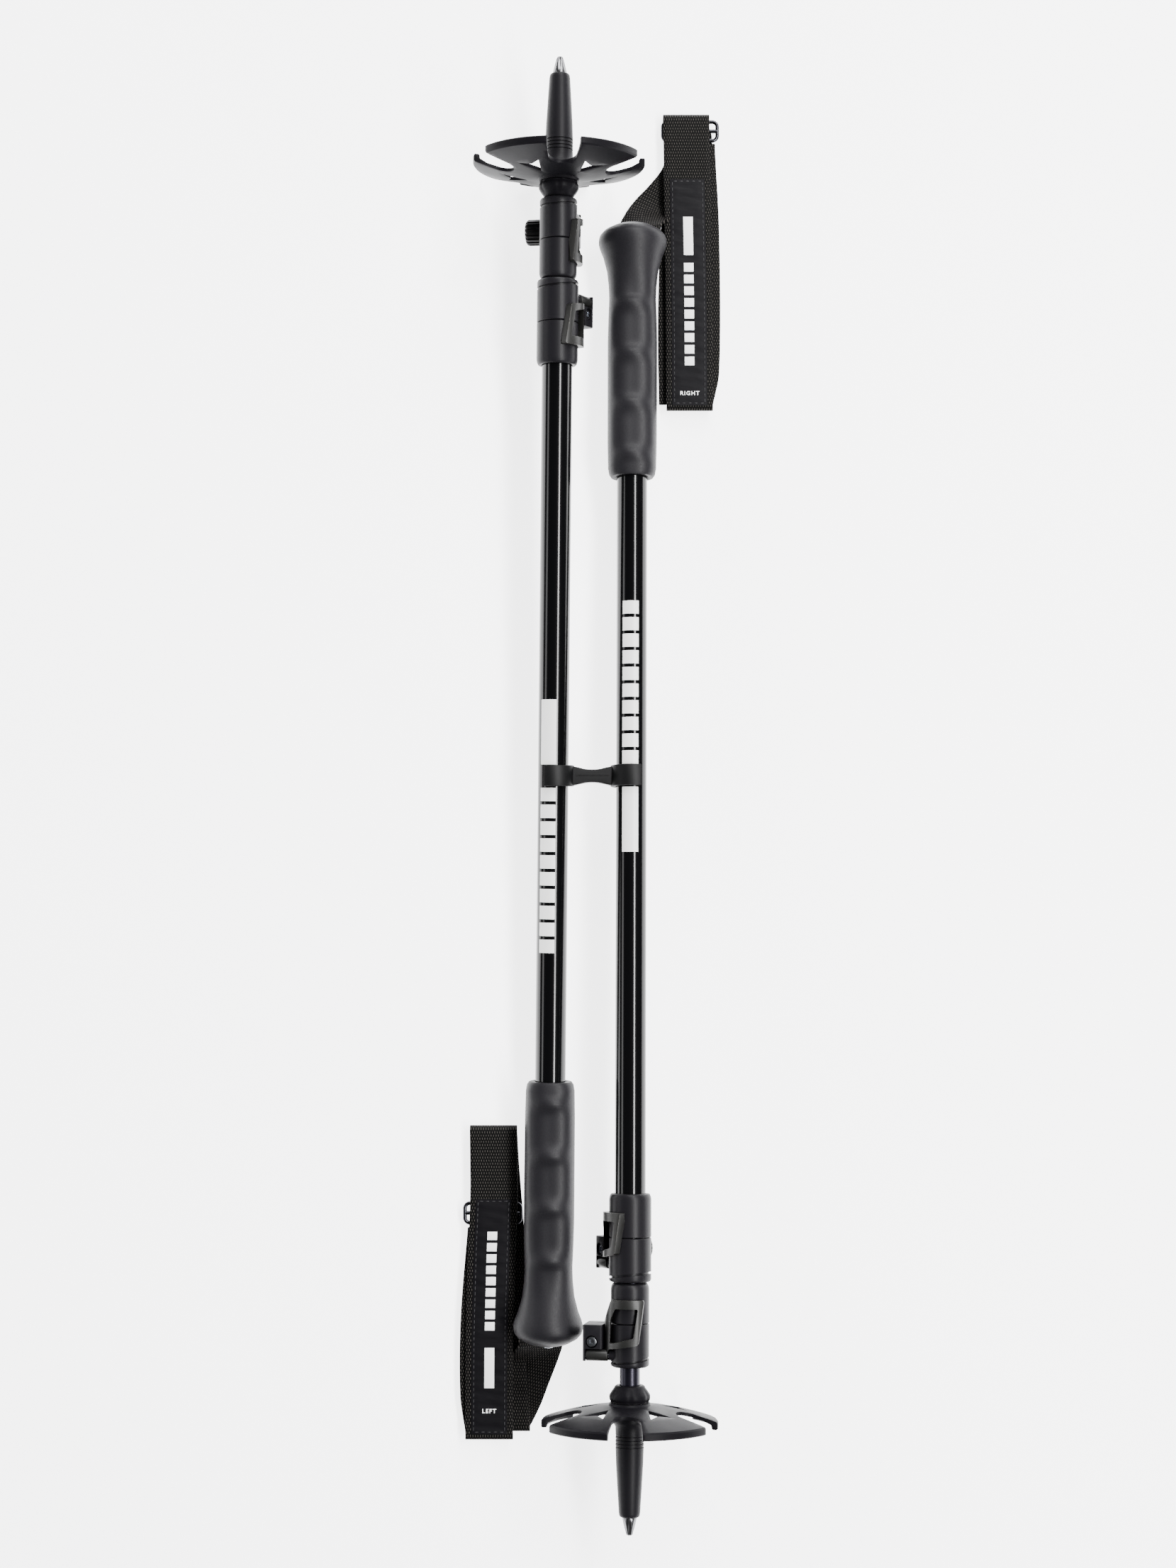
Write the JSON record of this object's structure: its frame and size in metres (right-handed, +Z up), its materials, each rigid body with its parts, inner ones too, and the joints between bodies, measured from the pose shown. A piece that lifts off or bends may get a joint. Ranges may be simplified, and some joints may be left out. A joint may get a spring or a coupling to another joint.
{
  "type": "trekking poles",
  "caption": "Pair of folding trekking poles with cam-lever clamps, straps and baskets, pushed in to packed length and held head to tail by a double rubber clip.",
  "frame": {"origin": "bottom centre of the packed pair's bounding box, on the floor it lies on", "axes": "+Y along the poles toward the left pole's tip, +Z up, +X toward the right pole"},
  "size_m": [0.1386, 0.7666, 0.0899],
  "materials": {
    "grip_foam": "matt moulded foam",
    "gloss_tube": "gloss black lacquer",
    "inner_tube": "black anodised",
    "nylon": "fine moulded texture",
    "knob_nylon": "moulded, ribbed",
    "basket_nylon": "semi-matt moulded",
    "gunmetal": "gunmetal coat with worn edges",
    "bright_steel": "bright plated",
    "hard_metal": "ground",
    "webbing": "coarse woven nylon",
    "satin_label": "satin weave",
    "clip_rubber": "matt"
  },
  "bodies": {
    "left_upper": {"left_grip": "grip_foam", "left_grip_plug": "bright_steel", "left_strap_wedge": "nylon", "left_strap": "webbing", "left_strap_label": "satin_label", "left_strap_buckle": "bright_steel", "left_upper_tube": "gloss_tube", "left_upper_sleeve": "nylon", "left_upper_collar": "nylon", "left_upper_pin": "bright_steel", "left_upper_bolt": "bright_steel", "tie_clip": "clip_rubber"},
    "left_middle": {"left_middle_tube": "inner_tube", "left_middle_guide": "nylon", "left_lower_sleeve": "nylon", "left_lower_collar": "nylon", "left_lower_pin": "bright_steel", "left_lower_bolt": "bright_steel"},
    "left_lower": {"left_lower_tube": "inner_tube", "left_lower_guide": "nylon", "left_basket": "basket_nylon", "left_basket_nut": "basket_nylon", "left_ferrule": "nylon", "left_tip": "hard_metal"},
    "left_upper_lever": {"left_upper_lever": "gunmetal"},
    "left_upper_knob": {"left_upper_knob": "knob_nylon"},
    "left_lower_lever": {"left_lower_lever": "gunmetal"},
    "left_lower_knob": {"left_lower_knob": "knob_nylon"},
    "right_upper": {"right_grip": "grip_foam", "right_grip_plug": "bright_steel", "right_strap_wedge": "nylon", "right_strap": "webbing", "right_strap_label": "satin_label", "right_strap_buckle": "bright_steel", "right_upper_tube": "gloss_tube", "right_upper_sleeve": "nylon", "right_upper_collar": "nylon", "right_upper_pin": "bright_steel", "right_upper_bolt": "bright_steel"},
    "right_middle": {"right_middle_tube": "inner_tube", "right_middle_guide": "nylon", "right_lower_sleeve": "nylon", "right_lower_collar": "nylon", "right_lower_pin": "bright_steel", "right_lower_bolt": "bright_steel"},
    "right_lower": {"right_lower_tube": "inner_tube", "right_lower_guide": "nylon", "right_basket": "basket_nylon", "right_basket_nut": "basket_nylon", "right_ferrule": "nylon", "right_tip": "hard_metal"},
    "right_upper_lever": {"right_upper_lever": "gunmetal"},
    "right_upper_knob": {"right_upper_knob": "knob_nylon"},
    "right_lower_lever": {"right_lower_lever": "gunmetal"},
    "right_lower_knob": {"right_lower_knob": "knob_nylon"}
  },
  "joints": [
    {"name": "left_middle_slide", "type": "slide", "parent": "left_upper", "child": "left_middle", "axis": [0.0092, 0.999, 0.0442], "range_m": [0, 0.33]},
    {"name": "left_lower_slide", "type": "slide", "parent": "left_middle", "child": "left_lower", "axis": [0.0092, 0.999, 0.0442], "range_m": [0, 0.33]},
    {"name": "left_upper_lever_hinge", "type": "hinge", "parent": "left_upper", "child": "left_upper_lever", "pos_m": [-0.00357, 0.25719, 0.02897], "axis": [-0.5302, -0.0326, 0.8472], "range_deg": [0, 80]},
    {"name": "left_upper_knob_turn", "type": "hinge", "parent": "left_upper", "child": "left_upper_knob", "pos_m": [-0.02153, 0.25105, 0.0175], "axis": [-0.8478, 0.0313, -0.5294], "continuous": true},
    {"name": "left_lower_lever_hinge", "type": "hinge", "parent": "left_middle", "child": "left_lower_lever", "pos_m": [-0.00912, 0.30269, 0.0266], "axis": [-0.174, -0.0419, 0.9838], "range_deg": [0, 80]},
    {"name": "left_lower_knob_turn", "type": "hinge", "parent": "left_middle", "child": "left_lower_knob", "pos_m": [-0.02996, 0.29625, 0.02264], "axis": [-0.9847, 0.0168, -0.1735], "continuous": true},
    {"name": "right_pole_slide", "type": "slide", "parent": "left_upper", "child": "right_upper", "axis": [-0.0043, -0.999, 0.0436], "range_m": [-0.015, 0.015]},
    {"name": "right_middle_slide", "type": "slide", "parent": "right_upper", "child": "right_middle", "axis": [-0.0043, -0.999, 0.0436], "range_m": [0, 0.33]},
    {"name": "right_lower_slide", "type": "slide", "parent": "right_middle", "child": "right_lower", "axis": [-0.0043, -0.999, 0.0436], "range_m": [-0.009, 0.321]},
    {"name": "right_upper_lever_hinge", "type": "hinge", "parent": "right_upper", "child": "right_upper_lever", "pos_m": [0.00646, -0.24833, 0.02766], "axis": [0.4696, 0.0365, 0.8821], "range_deg": [0, 80]},
    {"name": "right_upper_knob_turn", "type": "hinge", "parent": "right_upper", "child": "right_upper_knob", "pos_m": [0.02512, -0.24205, 0.01747], "axis": [0.8829, -0.0242, -0.469], "continuous": true},
    {"name": "right_lower_lever_hinge", "type": "hinge", "parent": "right_middle", "child": "right_lower_lever", "pos_m": [0.00025, -0.29287, 0.04551], "axis": [0.9848, 0.0034, 0.1735], "range_deg": [0, 80]},
    {"name": "right_lower_knob_turn", "type": "hinge", "parent": "right_middle", "child": "right_lower_knob", "pos_m": [0.00394, -0.287, 0.02446], "axis": [0.1735, -0.0436, -0.9839], "continuous": true}
  ]
}
